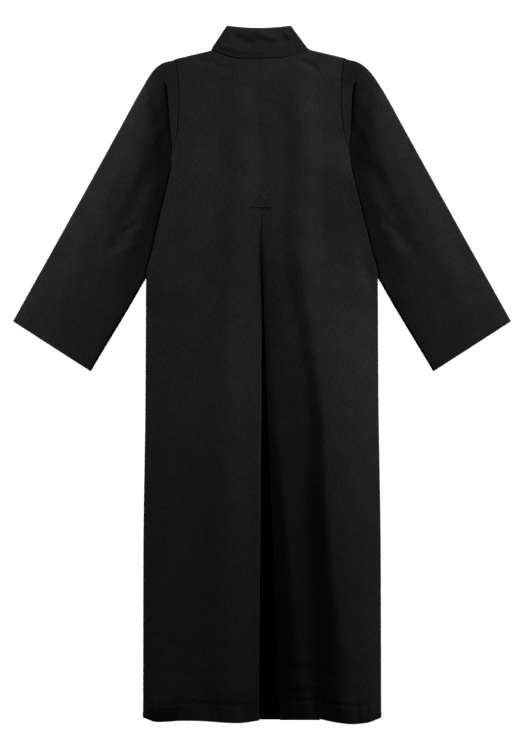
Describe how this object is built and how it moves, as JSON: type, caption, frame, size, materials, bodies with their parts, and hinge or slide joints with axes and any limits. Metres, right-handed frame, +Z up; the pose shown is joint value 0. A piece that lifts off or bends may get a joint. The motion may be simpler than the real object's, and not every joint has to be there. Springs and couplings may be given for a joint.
{
  "type": "cassock",
  "caption": "Ankle-length black clerical robe, laid flat with its back uppermost: a stand collar, long set-in sleeves and an inverted pleat below a stitched triangle at the centre back.",
  "frame": {"origin": "the middle of the flattened garment, on the surface that it lies on", "axes": "+Y from the hem towards the collar, +Z up out of the surface, +X towards the garment's right sleeve; the back is uppermost"},
  "size_m": [1.0696, 1.495, 0.0319],
  "materials": {
    "black_suiting": "matt black worsted suiting, plain fine weave",
    "collar_suiting": "the same suiting, doubled and interlined"
  },
  "bodies": {
    "root": {"back_left": "black_suiting", "back_right": "black_suiting", "front_left": "black_suiting", "front_right": "black_suiting", "sleeve_left": "black_suiting", "sleeve_right": "black_suiting", "pleat_underlay": "black_suiting", "pleat_tack": "black_suiting", "collar": "collar_suiting"}
  },
  "joints": []
}
